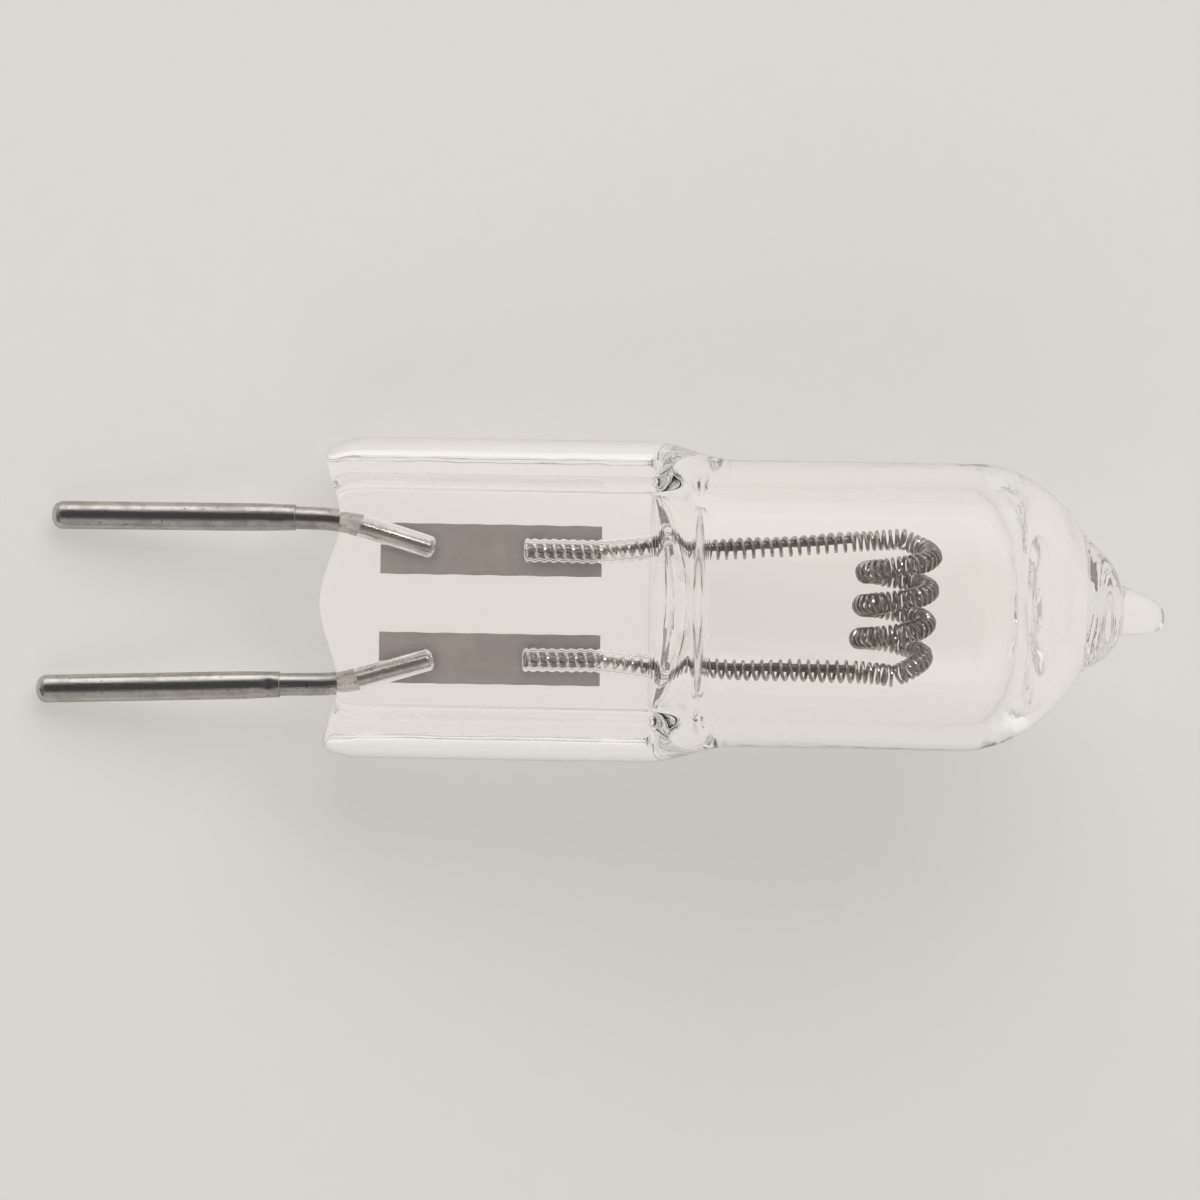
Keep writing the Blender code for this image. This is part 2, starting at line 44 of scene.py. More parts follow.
# Where the lamp lies: its own X runs from the pins to the exhaust tip, and its Z faces up from the seal
LAMP_PLACE = Vector((-10.107799, -0.009999, 2.585626)) * MM
LAMP_TILT = math.radians(11.497733)
TILT_AXIS = Vector((-0.074619, -0.9972146, 0.0))
LAMP = Matrix.Translation(LAMP_PLACE) @ Matrix.Rotation(LAMP_TILT, 4, TILT_AXIS)

# Quartz bulb
TUBE_DIAMETER = 10.9 * MM
TUBE_LENGTH = 8.9 * MM
WALL = 1.03 * MM
SHOULDER_LENGTH = 3.2 * MM
SHOULDER_RISE = 1.75 * MM
DOME_LENGTH = 4.3 * MM
INNER_DOME_LENGTH = 2.3 * MM
DOME_FULLNESS = 0.82
INNER_DOME_FULLNESS = 0.62
DOME_LEAN = 0.25 * MM
KNOB_DIAMETER = 5.4 * MM
KNOB_LENGTH = 1.5 * MM
TIP_DIAMETER = 1.95 * MM
TIP_LENGTH = 1.7 * MM
TIP_DROOP = 0.3 * MM
FUNNEL_DIAMETER = 3.8 * MM
FUNNEL_LENGTH = 0.25 * MM
KNOB_PROFILE = ((0.0, 0.0), (0.35, 0.24), (0.7, 0.5), (0.88, 0.72), (0.97, 0.9), (1.0, 1.0))
TIP_PROFILE = ((0.0, 1.0), (0.2, 0.92), (0.5, 0.8), (0.75, 0.65), (0.9, 0.48), (0.97, 0.3), (1.0, 0.14))
FUNNEL_PROFILE = ((0.0, 1.0), (0.2, 0.62), (0.5, 0.32), (0.8, 0.14), (0.95, 0.06), (1.0, 0.0))

# Press seal
SEAL_LENGTH = 12.1 * MM
SEAL_WIDTH = 12.2 * MM
PANEL_WIDTH = 8.2 * MM
PANEL_THICKNESS = 3.0 * MM
RIB_THICKNESS = 4.6 * MM
RIB_SLOPE = 0.65 * MM
RIB_ROUNDING = 1.3 * MM
END_ROUNDING = 0.6 * MM
LEFT_CORNER = 1.1 * MM
RIGHT_CORNER = 0.5 * MM
END_WAVE = 0.36 * MM
END_WAVE_FADE = 2.5 * MM
LOBE_HEIGHT = 0.95 * MM
WEDGE_SETBACK = 0.35 * MM
WEDGE_LENGTH = 1.9 * MM
WEDGE_NARROWING = 0.9

# Pins and outer leads
PIN_SPACING = 6.35 * MM
LEAD_DIAMETER = 0.86 * MM
SLEEVE_WALL = 0.08 * MM
SLEEVE_LENGTH = 9.25 * MM
SLEEVE_TIP_WALL = 0.6 * MM
SLEEVE_ROUNDING = 0.8
CRIMP_LENGTH = 1.5 * MM
CRIMP_WALL = 0.04 * MM
LEAST_SLEEVE_WALL = 0.01 * MM
LEFT_BARE_LEAD = 1.35 * MM
RIGHT_BARE_LEAD = 1.85 * MM
LEFT_PIN_LEAN = math.radians(-0.3)
RIGHT_PIN_LEAN = math.radians(2.0)

# Foils, with the outer lead and the filament's leg lying on each
MOUNT_SHIFT = -0.2 * MM
FOIL_START = 1.9 * MM
FOIL_LENGTH = 8.4 * MM
FOIL_WIDTH = 1.95 * MM
FOIL_THICKNESS = 0.04 * MM
FOIL_EDGE = 0.3 * MM
FOIL_EDGE_WAVER = 0.01 * MM
FOIL_SPACING = 4.14 * MM
LEAD_OVERLAP = 2.1 * MM
LEAD_ROUNDING = 0.28 * MM
LEAD_SHIFT_AT_ENTRY = 0.08
LEAD_SHIFT_AT_FOIL = 0.45
LEG_OVERLAP = 2.9 * MM

# Filament
WIRE_DIAMETER = 0.14 * MM
COIL_DIAMETER = 0.84 * MM
LEG_COIL_PITCH = 0.357 * MM
BODY_COIL_PITCH = 0.25 * MM
CORE_DIAMETER = 0.32 * MM
BODY_DIAMETER = 2.43 * MM
BODY_PITCH = 1.27 * MM
BODY_TURNS = 3
BODY_END_RISE = 0.25 * MM
BODY_SETBACK = 2.75 * MM
BODY_LEAN = math.radians(4.0)
BODY_ROLL = math.radians(6.5)
LEG_SPACING = 4.6 * MM
LEG_SHARE_AT_TUBE = 0.25
LEG_SHARE_AT_BODY = 0.85
CORE_SETBACK = 1.5 * MM
CORE_ROUNDING = 0.05 * MM

# Gaps between pieces, and the pockets that the wires lie in
WELD_GAP = 0.02 * MM
CORE_CLEARANCE = 0.025 * MM
SLEEVE_CLEARANCE = 0.02 * MM
POCKET_GAP = 0.015 * MM
POCKET_RIPPLE = 0.06 * MM
POCKET_ROUNDING = 0.2 * MM

# Fineness
CAVITY_SIDES = 112
SLEEVE_SIDES = 48
COIL_STEPS = 15
COIL_WIRE_SIDES = 8
CORE_SIDES = 12
LEAD_SIDES = 32
POCKET_SIDES = 24
SPINE_FINENESS = 0.02 * MM
CURVE_FINENESS = 0.05 * MM
PROFILE_FINENESS = 0.06
LEAD_STEP = 0.15 * MM
CORE_STEP = 0.2 * MM
MERGE_DISTANCE = 0.0001 * MM

LEFT = 1
RIGHT = -1
SIDE_NAMES = {LEFT: "left", RIGHT: "right"}
BARE_LEAD = {LEFT: LEFT_BARE_LEAD, RIGHT: RIGHT_BARE_LEAD}
PIN_LEAN = {LEFT: LEFT_PIN_LEAN, RIGHT: RIGHT_PIN_LEAN}
CORNER = {LEFT: LEFT_CORNER, RIGHT: RIGHT_CORNER}

# Places along the lamp, and radii and heights that follow from the sizes above
TUBE_RADIUS = TUBE_DIAMETER / 2
CAVITY_RADIUS = TUBE_RADIUS - WALL
TUBE_START = SEAL_LENGTH + SHOULDER_LENGTH
TUBE_END = TUBE_START + TUBE_LENGTH
DOME_END = TUBE_END + DOME_LENGTH
KNOB_END = DOME_END + KNOB_LENGTH
WEDGE_START = SEAL_LENGTH + WEDGE_SETBACK
FOIL_END = FOIL_START + FOIL_LENGTH
BODY_CENTRE = TUBE_END - BODY_SETBACK
LEAD_RADIUS = LEAD_DIAMETER / 2
SLEEVE_BORE = LEAD_RADIUS + SLEEVE_CLEARANCE
SLEEVE_RADIUS = SLEEVE_BORE + SLEEVE_WALL
FOIL_HEIGHT = -(LEAD_RADIUS + WELD_GAP + FOIL_THICKNESS / 2)
CORE_RADIUS = CORE_DIAMETER / 2
WIRE_RADIUS = WIRE_DIAMETER / 2
WOUND_RADIUS = COIL_DIAMETER / 2 - WIRE_RADIUS
CORE_SHIFT = WOUND_RADIUS - WIRE_RADIUS - CORE_RADIUS - CORE_CLEARANCE
LEG_HEIGHT = FOIL_HEIGHT + (FOIL_THICKNESS + COIL_DIAMETER) / 2 + WELD_GAP

# Rings that the burner left on the dome and the knob: place along the lamp, depth and width
BURNER_RINGS = (
    (27.45 * MM, 0.014 * MM, 0.3 * MM),
    (28.05 * MM, -0.01 * MM, 0.25 * MM),
    (29.05 * MM, 0.012 * MM, 0.2 * MM),
    (29.75 * MM, 0.012 * MM, 0.16 * MM),
)

# Slow waves along the foils: height, length and start
FOIL_WAVES = ((0.004 * MM, 0.9 * MM, 0.0), (0.003 * MM, 0.37 * MM, 1.0))

# Camera: straight down on the flat of the seal, with the frame as wide as the photograph's
VIEW_CENTRE = Vector((10.26, 0.04, 0.0)) * MM
VIEW_WIDTH = 45.6 * MM
VIEW_DISTANCE = 190 * MM
VIEW_TURN = math.radians(0.98)


def ease(share):
    """Runs smoothly from 0 to 1 as share goes from 0 to 1."""
    share = min(1.0, max(0.0, share))
    return share * share * (3 - 2 * share)


def mix(start, end, share):
    return start + (end - start) * share


# Shaping glass and metal


def draw_out(sections):
    """A closed skin: one ring of edges drawn out from section to section, as a glass tube is."""
    shape = bmesh.new()
    number = shape.verts.layers.int.new("number")
    ring = bmesh.ops.create_circle(shape, segments=len(sections[0]), radius=1.0)["verts"]
    for place, vert in enumerate(ring):
        vert[number] = place
        vert.co = sections[0][place]
    edges = list(shape.edges)
    for section in sections[1:]:
        drawn = bmesh.ops.extrude_edge_only(shape, edges=edges)["geom"]
        moved = {item for item in drawn if isinstance(item, bmesh.types.BMVert)}
        for vert in moved:
            vert.co = section[vert[number]]
        drawn_edges = [item for item in drawn if isinstance(item, bmesh.types.BMEdge)]
        edges = [edge for edge in drawn_edges if moved.issuperset(edge.verts)]
    bmesh.ops.remove_doubles(shape, verts=shape.verts, dist=MERGE_DISTANCE)
    bmesh.ops.recalc_face_normals(shape, faces=shape.faces)
    return shape


def mesh_of(name, shape, sharp=40):
    """A mesh of the finished shape, laid down as the lamp lies, and shaded smooth."""
    mesh = bpy.data.meshes.new(name)
    shape.to_mesh(mesh)
    shape.free()
    mesh.transform(LAMP)
    mesh.shade_smooth()
    if sharp:
        mesh.set_sharp_from_angle(angle=math.radians(sharp))
    return mesh


def add_piece(name, mesh, material, replaced):
    piece = bpy.data.objects.new(name, mesh)
    bpy.context.scene.collection.objects.link(piece)
    mesh.materials.append(material)
    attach(piece, "root")
    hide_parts(replaced)


def smooth_curve(points, fineness):
    """Points along a smooth curve through the given points."""
    ends = [2 * points[0] - points[1], *points, 2 * points[-1] - points[-2]]
    dense = []
    for first, start, end, last in zip(ends, ends[1:], ends[2:], ends[3:]):
        pieces = max(2, math.ceil((end - start).length / fineness))
        for piece in range(pieces):
            share = piece / pieces
            pull = first * (-share + 2 * share**2 - share**3)
            pull += start * (2 - 5 * share**2 + 3 * share**3)
            pull += end * (share + 4 * share**2 - 3 * share**3)
            pull += last * (share**3 - share**2)
            dense.append(pull / 2)
    return [*dense, points[-1]]


def even_steps(points, step):
    lengths = [0.0]
    for before, after in zip(points, points[1:]):
        lengths.append(lengths[-1] + (after - before).length)
    count = max(1, round(lengths[-1] / step))
    even = []
    place = 0
    for number in range(count + 1):
        target = lengths[-1] * number / count
        while place < len(points) - 2 and lengths[place + 1] < target:
            place += 1
        share = (target - lengths[place]) / (lengths[place + 1] - lengths[place])
        even.append(points[place].lerp(points[place + 1], share))
    return even


def smooth_profile(profile):
    curve = smooth_curve([Vector((share, value, 0.0)) for share, value in profile], PROFILE_FINENESS)
    return [(point.x, max(0.0, point.y)) for point in curve]


# Quartz bulb


def seal_half_thickness(across, half_width):
    """Half the press seal's thickness at a place across it: the panel, the slope and the rounded rib."""
    across = abs(across)
    slope = ease((across - PANEL_WIDTH / 2) / RIB_SLOPE)
    thickness = mix(PANEL_THICKNESS, RIB_THICKNESS, slope) / 2
    past = (across - (half_width - RIB_ROUNDING)) / RIB_ROUNDING
    return thickness * math.sqrt(max(0.0, 1 - max(0.0, past) ** 2))


def skin_angles():
    """Angles round a section, closest where the slope of each rib runs."""
    slope_top = math.acos((PANEL_WIDTH / 2 + RIB_SLOPE) / (SEAL_WIDTH / 2))
    slope_foot = math.acos(PANEL_WIDTH / SEAL_WIDTH)
    quarter = [slope_top * step / 16 for step in range(16)]
    quarter += [mix(slope_top, slope_foot, step / 10) for step in range(10)]
    quarter += [mix(slope_foot, math.pi / 2, step / 16) for step in range(17)]
    upper = quarter + [math.pi - angle for angle in quarter[-2::-1]]
    return upper + [2 * math.pi - angle for angle in upper[-2:0:-1]]


def seal_end_wave(point):
    """The seal's end bulges between the pins, is notched at each pin and has rounded corners."""
    fade = 1 - ease(point.x / END_WAVE_FADE)
    wave = math.cos(2 * math.pi * (point.y - MOUNT_SHIFT) / PIN_SPACING)
    corner = CORNER[LEFT if point.y > 0 else RIGHT]
    past = min(1.0, max(0.0, 1 - (SEAL_WIDTH / 2 - abs(point.y)) / corner))
    cut = corner * (1 - math.sqrt(1 - past**2))
    return point + Vector(((cut - END_WAVE * wave) * fade, 0, 0))


def burner_rings(along, angle):
    """How far the burner's rings draw the skin in. They fade in and out round the bulb."""
    drawn_in = 0.0
    for number, (place, depth, width) in enumerate(BURNER_RINGS):
        strength = 0.6 + 0.4 * math.cos(angle - 1.1 * number)
        drawn_in += depth * strength * math.exp(-(((along - place) / width) ** 2))
    return drawn_in


def bulb_section(along, half_width, roundness, inset=0.0, shift=0.0):
    """One ring of the outer skin: the press seal's section at roundness 0, and a circle at 1."""
    ring = []
    for angle in skin_angles():
        radius = half_width - burner_rings(along, angle)
        across = radius * math.cos(angle)
        flat = seal_half_thickness(across, radius) * (1 if angle < math.pi else -1)
        height = mix(flat, min(radius, TUBE_RADIUS) * math.sin(angle), roundness)
        scale = 1 - inset / half_width
        lowered = math.copysign(max(0.0, abs(height) - inset), height)
        ring.append(seal_end_wave(Vector((along, across * scale + shift, lowered))))
    return ring


def bulb_sections():
    half_width = SEAL_WIDTH / 2
    sections = []
    for degrees in range(90, -1, -6):
        turn = math.radians(degrees)
        along = 2 * END_ROUNDING * (1 - math.sin(turn))
        sections.append(bulb_section(along, half_width, 0.0, END_ROUNDING * (1 - math.cos(turn))))
    sections.insert(0, [Vector((point.x, point.y, 0.0)) for point in sections[0]])
    for step in range(1, 32):
        sections.append(bulb_section(mix(2 * END_ROUNDING, SEAL_LENGTH, step / 32), half_width, 0.0))
    for step in range(33):
        share = (step / 32) ** 1.4
        along = SEAL_LENGTH + SHOULDER_LENGTH * share
        roundness = ease((along - SEAL_LENGTH) / SHOULDER_RISE)
        sections.append(bulb_section(along, mix(half_width, TUBE_RADIUS, ease(share)), roundness))
    for step in range(1, 16):
        sections.append(bulb_section(TUBE_START + TUBE_LENGTH * step / 16, TUBE_RADIUS, 1.0))
    for step in range(48):
        share = math.sin(math.pi / 2 * step / 48)
        radius = mix(KNOB_DIAMETER / 2, TUBE_RADIUS, (1 - share**2) ** DOME_FULLNESS)
        along = TUBE_END + DOME_LENGTH * share
        sections.append(bulb_section(along, radius, 1.0, shift=DOME_LEAN * share))
    tip_radius = TIP_DIAMETER / 2
    for share, fall in smooth_profile(KNOB_PROFILE)[:-1]:
        radius = mix(KNOB_DIAMETER / 2, tip_radius, fall)
        along = DOME_END + KNOB_LENGTH * share
        sections.append(bulb_section(along, radius, 1.0, shift=DOME_LEAN * (1 - share)))
    for share, swell in smooth_profile(TIP_PROFILE):
        along = KNOB_END + TIP_LENGTH * share
        sections.append(bulb_section(along, tip_radius * swell, 1.0, shift=-TIP_DROOP * share))
    sections.append([Vector((KNOB_END + TIP_LENGTH, -TIP_DROOP, 0.0)) for _ in sections[-1]])
    return sections


def cavity_section(along, half_width, half_height):
    ring = []
    for step in range(CAVITY_SIDES):
        angle = 2 * math.pi * step / CAVITY_SIDES
        across = half_width * math.cos(angle)
        fade = 1 - ease((along - WEDGE_START) / WEDGE_LENGTH)
        lobe = LOBE_HEIGHT * fade * math.cos(math.pi * across / (2 * CAVITY_RADIUS))
        ring.append(Vector((along + lobe, across, half_height * math.sin(angle))))
    return ring


def cavity_sections():
    """The sealed room round the filament, from its wedge at the press seal to its funnel at the tip."""
    sections = []
    for degrees in range(0, 90, 2):
        turn = math.radians(degrees)
        along = WEDGE_START + WEDGE_LENGTH * (1 - math.cos(turn))
        half_width = CAVITY_RADIUS * mix(WEDGE_NARROWING, 1.0, math.sin(turn))
        sections.append(cavity_section(along, half_width, CAVITY_RADIUS * math.sin(turn)))
    for step in range(17):
        along = mix(WEDGE_START + WEDGE_LENGTH, TUBE_END, step / 17)
        sections.append(cavity_section(along, CAVITY_RADIUS, CAVITY_RADIUS))
    funnel_radius = FUNNEL_DIAMETER / 2
    for step in range(28):
        share = math.sin(math.pi / 2 * step / 28)
        radius = mix(funnel_radius, CAVITY_RADIUS, (1 - share**2) ** INNER_DOME_FULLNESS)
        sections.append(cavity_section(TUBE_END + INNER_DOME_LENGTH * share, radius, radius))
    for share, swell in smooth_profile(FUNNEL_PROFILE):
        along = TUBE_END + INNER_DOME_LENGTH + FUNNEL_LENGTH * share
        sections.append(cavity_section(along, funnel_radius * swell, funnel_radius * swell))
    sections.append(cavity_section(TUBE_END + INNER_DOME_LENGTH + FUNNEL_LENGTH, 0.0, 0.0))
    return sections


def hollow(shape):
    """The same skin as a room in the glass, with its faces towards the room."""
    bmesh.ops.reverse_faces(shape, faces=shape.faces)
    mesh = bpy.data.meshes.new("hollow")
    shape.to_mesh(mesh)
    shape.free()
    return mesh


def quartz_bulb(material):
    """The pressed and drawn quartz, with its room for the filament and a thin pocket round each wire."""
    shape = draw_out(bulb_sections())
    rooms = [hollow(draw_out(cavity_sections()))]
    for side in SIDE_NAMES:
        lead_way = wire_shape(lead_pocket(side), LEAD_RADIUS + POCKET_GAP, LEAD_SIDES, LEAD_ROUNDING)
        leg_radius = COIL_DIAMETER / 2 + POCKET_GAP + POCKET_RIPPLE
        leg_way = wire_shape(leg_pocket(side), leg_radius, POCKET_SIDES, POCKET_ROUNDING, POCKET_RIPPLE)
        rooms += [hollow(lead_way), hollow(leg_way)]
    for room in rooms:
        shape.from_mesh(room)
        bpy.data.meshes.remove(room)
    mesh = mesh_of("quartz_bulb", shape, sharp=None)
    add_piece("quartz_bulb", mesh, material, "envelope")


# Wires


def wire_shape(points, radius, sides, rounding=0.0, ripple=0.0):
    """A round wire along the points, with its ends rounded off, and drawn in at every second point."""
    route = [(point, ripple * (number % 2)) for number, point in enumerate(points)]
    if rounding:
        ends = (points[0], points[-1])
        inner = [stop for stop in route if min((stop[0] - end).length for end in ends) > rounding]
        route = [*rounded_end(points[::-1], rounding)[::-1], *inner, *rounded_end(points, rounding)]
    curve = bpy.data.curves.new("wire", "CURVE")
    curve.dimensions = "3D"
    curve.bevel_depth = radius
    curve.bevel_resolution = sides // 2 - 2
    curve.use_fill_caps = True
    spline = curve.splines.new("POLY")
    spline.points.add(len(route) - 1)
    for place, (point, less) in zip(spline.points, route):
        place.co = (*point, 1.0)
        place.radius = (radius - less) / radius
    spline.use_smooth = True
    holder = bpy.data.objects.new("wire", curve)
    mesh = bpy.data.meshes.new_from_object(holder)
    bpy.data.objects.remove(holder)
    bpy.data.curves.remove(curve)
    shape = bmesh.new()
    shape.from_mesh(mesh)
    bpy.data.meshes.remove(mesh)
    bmesh.ops.remove_doubles(shape, verts=shape.verts, dist=MERGE_DISTANCE)
    bmesh.ops.recalc_face_normals(shape, faces=shape.faces)
    return shape


def rounded_end(points, rounding):
    """The last stretch of a wire as (point, how much thinner) steps of a quarter circle."""
    onward = (points[-1] - points[-2]).normalized()
    steps = []
    for degrees in range(0, 81, 10):
        turn = math.radians(degrees)
        place = points[-1] - onward * rounding * (1 - math.sin(turn))
        steps.append((place, rounding * (1 - math.cos(turn))))
    return steps


def sleeve_mouth(side):
    return Vector((-BARE_LEAD[side], MOUNT_SHIFT + side * PIN_SPACING / 2, 0.0))


def pin_direction(side):
    lean = PIN_LEAN[side]
    return Vector((-math.cos(lean), side * math.sin(lean), 0.0))


def lead_curve(side):
    """The outer lead: straight in its sleeve, then bent in through the glass to lie on its foil."""
    mouth = sleeve_mouth(side)
    outer_end = mouth + pin_direction(side) * (SLEEVE_LENGTH - SLEEVE_TIP_WALL - SLEEVE_CLEARANCE)
    pin_side = MOUNT_SHIFT + side * PIN_SPACING / 2
    foil_side = MOUNT_SHIFT + side * FOIL_SPACING / 2
    entry = Vector((END_WAVE, mix(pin_side, foil_side, LEAD_SHIFT_AT_ENTRY), 0.0))
    knee = Vector((FOIL_START, mix(pin_side, foil_side, LEAD_SHIFT_AT_FOIL), 0.0))
    end = Vector((FOIL_START + LEAD_OVERLAP, foil_side, 0.0))
    return [outer_end, *even_steps(smooth_curve([mouth, entry, knee, end], CURVE_FINENESS), LEAD_STEP)]


def lead_pocket(side):
    """The thin pocket round the lead, from just inside the glass to just past the lead's end."""
    points = [point for point in lead_curve(side) if point.x > END_WAVE + END_ROUNDING]
    onward = (points[-1] - points[-2]).normalized()
    return [*points, points[-1] + onward * POCKET_GAP]


def leg_stops(side):
    """The places that a leg passes. The left leg goes down to meet the body, and the right leg up."""
    foil_side = MOUNT_SHIFT + side * FOIL_SPACING / 2
    leg_side = MOUNT_SHIFT + side * LEG_SPACING / 2
    start = Vector((FOIL_END - LEG_OVERLAP, foil_side, LEG_HEIGHT))
    foil_exit = Vector((FOIL_END, foil_side, LEG_HEIGHT))
    seal_exit = Vector((WEDGE_START, leg_side, LEG_HEIGHT))
    body_height = -side * BODY_DIAMETER / 2
    body_side = side * (BODY_PITCH * (BODY_TURNS / 2 + 0.25) + BODY_END_RISE)
    free = Vector((TUBE_START, leg_side, mix(LEG_HEIGHT, body_height, LEG_SHARE_AT_TUBE)))
    end_height = mix(LEG_HEIGHT, body_height, LEG_SHARE_AT_BODY)
    turn_in = Vector((BODY_CENTRE - CORE_SETBACK, body_side, end_height))
    return [start, start.lerp(foil_exit, 0.5), foil_exit, seal_exit, free, turn_in]


def leg_pocket(side):
    """The thin pocket round the leg's coil, from behind its end to just before the bulb's room."""
    points = even_steps(smooth_curve(leg_stops(side)[:4], CURVE_FINENESS), LEG_COIL_PITCH / 2)
    points[0] -= Vector((WIRE_RADIUS + POCKET_GAP, 0, 0))
    return [point for point in points if point.x < WEDGE_START + LOBE_HEIGHT / 2]


def body_curve():
    """The body's middle line: whole turns, and a quarter turn more that rises to each leg."""
    points = []
    radius = BODY_DIAMETER / 2
    roll = Matrix.Rotation(BODY_ROLL, 3, "X")
    whole = 360 * BODY_TURNS
    for degrees in range(-90, whole + 91, 15):
        turn = math.radians(degrees)
        across = BODY_PITCH * (BODY_TURNS / 2 - degrees / 360)
        across += BODY_END_RISE * (ease(-degrees / 90) - ease((degrees - whole) / 90))
        along = BODY_CENTRE + radius * math.cos(turn) + math.tan(BODY_LEAN) * across
        points.append(roll @ Vector((along, across, radius * math.sin(turn))))
    return points


def coil_spine():
    """The middle line of both legs and the body, in the steps that each one's pitch asks."""
    body = body_curve()
    middle = smooth_curve(leg_stops(LEFT) + body + leg_stops(RIGHT)[::-1], SPINE_FINENESS)
    core_ends = (leg_stops(LEFT)[-1], leg_stops(RIGHT)[-1])
    first, last = (min(range(len(middle)), key=lambda n: (middle[n] - end).length) for end in core_ends)
    leg_step = LEG_COIL_PITCH / COIL_STEPS
    spine = even_steps(middle[: first + 1], leg_step)
    spine += even_steps(middle[first : last + 1], BODY_COIL_PITCH / COIL_STEPS)[1:]
    return spine + even_steps(middle[last:], leg_step)[1:]


def coil_curve():
    """The tungsten wire, wound round the whole middle line."""
    spine = coil_spine()
    heading = (spine[1] - spine[0]).normalized()
    normal = heading.orthogonal().normalized()
    wound = []
    for number, point in enumerate(spine):
        after = spine[min(len(spine) - 1, number + 1)]
        turned = (after - spine[max(0, number - 1)]).normalized()
        normal = heading.rotation_difference(turned) @ normal
        normal = (normal - turned * normal.dot(turned)).normalized()
        heading = turned
        angle = 2 * math.pi * number / COIL_STEPS
        radial = normal * math.cos(angle) + heading.cross(normal) * math.sin(angle)
        wound.append(point + radial * WOUND_RADIUS)
    return wound


def core_curve(side):
    """The core wire lies against the +Y side of the leg's coil, from the foil almost to the body."""
    curve = even_steps(smooth_curve(leg_stops(side), CURVE_FINENESS), CORE_STEP)
    return [point + Vector((0, CORE_SHIFT, 0)) for point in curve]


def wires(molybdenum, dull_molybdenum, tungsten):
    filament = mesh_of("coiled_filament", wire_shape(coil_curve(), WIRE_RADIUS, COIL_WIRE_SIDES))
    add_piece("coiled_filament", filament, tungsten, "filament")
    for side, word in SIDE_NAMES.items():
        drawn_lead = wire_shape(lead_curve(side), LEAD_RADIUS, LEAD_SIDES, LEAD_ROUNDING)
        lead = mesh_of(word + "_lead_wire", drawn_lead)
        add_piece(word + "_lead_wire", lead, molybdenum, word + "_outer_lead")
        drawn_core = wire_shape(core_curve(side), CORE_RADIUS, CORE_SIDES, CORE_ROUNDING)
        core = mesh_of(word + "_core", drawn_core)
        add_piece(word + "_core", core, dull_molybdenum, word + "_core_wire")


# Foils


def foil_section(along, middle, half_width):
    """A slice of foil: flat in the middle, feathered at both edges, and slightly wavy lengthwise."""
    wave = sum(height * math.sin(along / length + start) for height, length, start in FOIL_WAVES)
    upper = []
    for step in range(13):
        across = half_width * math.cos(math.pi * step / 12)
        edge = ease((half_width - abs(across)) / FOIL_EDGE)
        upper.append((across, mix(FOIL_THICKNESS / 8, FOIL_THICKNESS / 2, edge)))
    outline = upper + [(across, -height) for across, height in reversed(upper)]
    return [Vector((along, middle + across, FOIL_HEIGHT + wave + height)) for across, height in outline]


def foil(side, material):
    word = SIDE_NAMES[side]
    middle = MOUNT_SHIFT + side * FOIL_SPACING / 2
    sections = []
    for step in range(57):
        along = FOIL_START + FOIL_LENGTH * step / 56
        half_width = FOIL_WIDTH / 2 - FOIL_EDGE_WAVER * (1 + math.sin(step * 0.7 + side))
        sections.append(foil_section(along, middle, half_width))
    sections.insert(0, [Vector((point.x, point.y, FOIL_HEIGHT)) for point in sections[0]])
    sections.append([Vector((point.x, point.y, FOIL_HEIGHT)) for point in sections[-1]])
    mesh = mesh_of(word + "_thin_foil", draw_out(sections))
    add_piece(word + "_thin_foil", mesh, material, word + "_foil")


# Pin sleeves


def sleeve_profile():
    """Half the sleeve's section, from its closed tip round to the end of its bore; the mouth is at 0."""
    tip = -SLEEVE_LENGTH
    rounding = SLEEVE_ROUNDING * SLEEVE_RADIUS
    outline = [(tip, 0.0)]
    for degrees in range(0, 91, 9):
        turn = math.radians(degrees)
        along = tip + rounding * (1 - math.cos(turn))
        outline.append((along, SLEEVE_RADIUS - rounding * (1 - math.sin(turn))))
    straight = tip + rounding
    for step in range(1, 24):
        outline.append((mix(straight, -2 * CRIMP_LENGTH, step / 24), SLEEVE_RADIUS))
    for step in range(12):
        outline.append((mix(-2 * CRIMP_LENGTH, -CRIMP_LENGTH, step / 12), SLEEVE_RADIUS))
    mouth_radius = SLEEVE_BORE + CRIMP_WALL
    for step in range(20):
        share = step / 20
        outline.append((-CRIMP_LENGTH * (1 - share), mix(SLEEVE_RADIUS, mouth_radius, ease(share))))
    outline += [(-CRIMP_WALL / 2, mouth_radius), (0.0, mouth_radius - CRIMP_WALL / 3)]
    bore_end = tip + SLEEVE_TIP_WALL
    return outline + [(0.0, SLEEVE_BORE), (bore_end, SLEEVE_BORE), (bore_end, 0.0)]


# Marks of the crimping tool: place from the mouth, turn round the pin, depth, length and breadth
CRIMP_MARKS = {
    LEFT: (
        (-0.75 * MM, 15, 0.03 * MM, 0.35 * MM, 0.6),
        (-1.3 * MM, -60, 0.035 * MM, 0.4 * MM, 0.5),
        (-0.95 * MM, 170, 0.03 * MM, 0.4 * MM, 0.6),
    ),
    RIGHT: (
        (-0.4 * MM, 5, 0.045 * MM, 0.18 * MM, 0.4),
        (-0.95 * MM, -50, 0.035 * MM, 0.35 * MM, 0.5),
        (-0.8 * MM, 185, 0.03 * MM, 0.4 * MM, 0.6),
    ),
}


